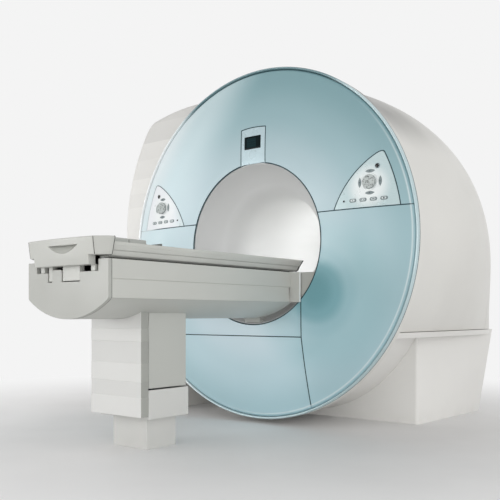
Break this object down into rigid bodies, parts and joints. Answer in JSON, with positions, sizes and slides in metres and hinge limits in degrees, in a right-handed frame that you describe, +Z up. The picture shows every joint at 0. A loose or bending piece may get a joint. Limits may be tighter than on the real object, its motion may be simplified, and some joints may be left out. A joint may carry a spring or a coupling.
{
  "type": "magnetic resonance scanner",
  "caption": "Whole-body scanner: ring front cover with control panels and a display, a flared tunnel through a rounded housing, and a lifting patient table with a sliding top.",
  "frame": {"origin": "on the floor, straight below the middle of the magnet and the tunnel axis", "axes": "+Z up, +Y along the tunnel from the table to the back, +X to the right of someone who faces the tunnel from the table"},
  "size_m": [2.2418, 2.865, 2.0647],
  "materials": {
    "cover_teal": "smooth gloss moulded cover, pale blue green",
    "panel_silver": "pale silver green moulded panel",
    "key_grey": "grey keys",
    "dial_grey": "grey turned dial",
    "sensor_black": "black gloss window",
    "screen": "dark display window",
    "trim_silver": "satin silver edge",
    "housing_white": "white moulded housing",
    "bore_white": "bright white moulding",
    "table_grey": "light warm grey moulding",
    "top_grey": "light grey composite",
    "pad_grey": "grey block",
    "wedge_dark": "dark grey wedge",
    "column_grey": "light grey painted sheet",
    "skirt_white": "white painted sheet with broad tone bands",
    "base_grey": "grey painted base",
    "frame_alu": "plain extruded aluminium",
    "steel": "bright steel",
    "coil_resin": "copper winding in brown casting resin",
    "tank_steel": "stainless tank",
    "base_steel": "grey painted steel"
  },
  "bodies": {
    "scanner": {"upper_ring_cover": "cover_teal", "left_ring_cover": "cover_teal", "right_ring_cover": "cover_teal", "lower_ring_panel": "cover_teal", "display_bezel": "panel_silver", "display_screen": "screen", "right_control_panel": "panel_silver", "left_control_panel": "panel_silver", "panel_sensors": "sensor_black", "ring_edge_trim": "trim_silver", "cover_support_frame": "frame_alu", "front_funnel": "bore_white", "tunnel_liner": "bore_white", "rear_funnel": "bore_white", "bore_rail_deck": "bore_white", "body_coil": "coil_resin", "gradient_coil": "coil_resin", "cryostat_vessel": "tank_steel", "helium_vessel": "tank_steel", "magnet_base": "base_steel", "cold_head": "steel", "upper_housing": "housing_white", "rear_housing": "housing_white", "right_lower_cover": "housing_white", "left_lower_cover": "housing_white", "left_side_cover": "housing_white", "table_floor_base": "base_grey", "table_plinth": "base_grey", "docking_guide": "frame_alu", "lift_cylinder": "steel"},
    "table": {"table_hull": "table_grey", "hull_end_cap": "table_grey", "right_side_panel": "table_grey", "left_side_panel": "table_grey", "table_frame": "frame_alu", "lift_column": "column_grey", "lift_skirt": "skirt_white", "lift_ram": "steel"},
    "top": {"tabletop": "top_grey", "tabletop_nose": "table_grey", "socket_blocks": "pad_grey", "head_wedge": "wedge_dark"},
    "right_dial_body": {"right_dial": "dial_grey"},
    "right_up_key_body": {"right_up_key": "key_grey"},
    "right_down_key_body": {"right_down_key": "key_grey"},
    "right_in_key_body": {"right_in_key": "key_grey"},
    "right_out_key_body": {"right_out_key": "key_grey"},
    "right_oval_key_1_body": {"right_oval_key_1": "key_grey"},
    "right_oval_key_2_body": {"right_oval_key_2": "key_grey"},
    "right_oval_key_3_body": {"right_oval_key_3": "key_grey"},
    "right_oval_key_4_body": {"right_oval_key_4": "key_grey"},
    "left_dial_body": {"left_dial": "dial_grey"},
    "left_up_key_body": {"left_up_key": "key_grey"},
    "left_down_key_body": {"left_down_key": "key_grey"},
    "left_in_key_body": {"left_in_key": "key_grey"},
    "left_out_key_body": {"left_out_key": "key_grey"},
    "left_oval_key_1_body": {"left_oval_key_1": "key_grey"},
    "left_oval_key_2_body": {"left_oval_key_2": "key_grey"},
    "left_oval_key_3_body": {"left_oval_key_3": "key_grey"},
    "left_oval_key_4_body": {"left_oval_key_4": "key_grey"}
  },
  "joints": [
    {"name": "table_lift", "type": "slide", "parent": "scanner", "child": "table", "axis": [0, 0, 1], "range_m": [-0.13, 0]},
    {"name": "tabletop_travel", "type": "slide", "parent": "table", "child": "top", "axis": [0, 1, 0], "range_m": [0, 1.15]},
    {"name": "right_dial_turn", "type": "hinge", "parent": "scanner", "child": "right_dial_body", "pos_m": [0.759, -0.77, 1.322], "axis": [0, 1, 0], "continuous": true},
    {"name": "right_up_key_press", "type": "slide", "parent": "scanner", "child": "right_up_key_body", "axis": [0, 1, 0], "range_m": [0, 0.0015], "stiffness_N_per_m": 1500},
    {"name": "right_down_key_press", "type": "slide", "parent": "scanner", "child": "right_down_key_body", "axis": [0, 1, 0], "range_m": [0, 0.0015], "stiffness_N_per_m": 1500},
    {"name": "right_in_key_press", "type": "slide", "parent": "scanner", "child": "right_in_key_body", "axis": [0, 1, 0], "range_m": [0, 0.0015], "stiffness_N_per_m": 1500},
    {"name": "right_out_key_press", "type": "slide", "parent": "scanner", "child": "right_out_key_body", "axis": [0, 1, 0], "range_m": [0, 0.0015], "stiffness_N_per_m": 1500},
    {"name": "right_oval_key_1_press", "type": "slide", "parent": "scanner", "child": "right_oval_key_1_body", "axis": [0, 1, 0], "range_m": [0, 0.0015], "stiffness_N_per_m": 1500},
    {"name": "right_oval_key_2_press", "type": "slide", "parent": "scanner", "child": "right_oval_key_2_body", "axis": [0, 1, 0], "range_m": [0, 0.0015], "stiffness_N_per_m": 1500},
    {"name": "right_oval_key_3_press", "type": "slide", "parent": "scanner", "child": "right_oval_key_3_body", "axis": [0, 1, 0], "range_m": [0, 0.0015], "stiffness_N_per_m": 1500},
    {"name": "right_oval_key_4_press", "type": "slide", "parent": "scanner", "child": "right_oval_key_4_body", "axis": [0, 1, 0], "range_m": [0, 0.0015], "stiffness_N_per_m": 1500},
    {"name": "left_dial_turn", "type": "hinge", "parent": "scanner", "child": "left_dial_body", "pos_m": [-0.759, -0.77, 1.322], "axis": [0, 1, 0], "continuous": true},
    {"name": "left_up_key_press", "type": "slide", "parent": "scanner", "child": "left_up_key_body", "axis": [0, 1, 0], "range_m": [0, 0.0015], "stiffness_N_per_m": 1500},
    {"name": "left_down_key_press", "type": "slide", "parent": "scanner", "child": "left_down_key_body", "axis": [0, 1, 0], "range_m": [0, 0.0015], "stiffness_N_per_m": 1500},
    {"name": "left_in_key_press", "type": "slide", "parent": "scanner", "child": "left_in_key_body", "axis": [0, 1, 0], "range_m": [0, 0.0015], "stiffness_N_per_m": 1500},
    {"name": "left_out_key_press", "type": "slide", "parent": "scanner", "child": "left_out_key_body", "axis": [0, 1, 0], "range_m": [0, 0.0015], "stiffness_N_per_m": 1500},
    {"name": "left_oval_key_1_press", "type": "slide", "parent": "scanner", "child": "left_oval_key_1_body", "axis": [0, 1, 0], "range_m": [0, 0.0015], "stiffness_N_per_m": 1500},
    {"name": "left_oval_key_2_press", "type": "slide", "parent": "scanner", "child": "left_oval_key_2_body", "axis": [0, 1, 0], "range_m": [0, 0.0015], "stiffness_N_per_m": 1500},
    {"name": "left_oval_key_3_press", "type": "slide", "parent": "scanner", "child": "left_oval_key_3_body", "axis": [0, 1, 0], "range_m": [0, 0.0015], "stiffness_N_per_m": 1500},
    {"name": "left_oval_key_4_press", "type": "slide", "parent": "scanner", "child": "left_oval_key_4_body", "axis": [0, 1, 0], "range_m": [0, 0.0015], "stiffness_N_per_m": 1500}
  ]
}
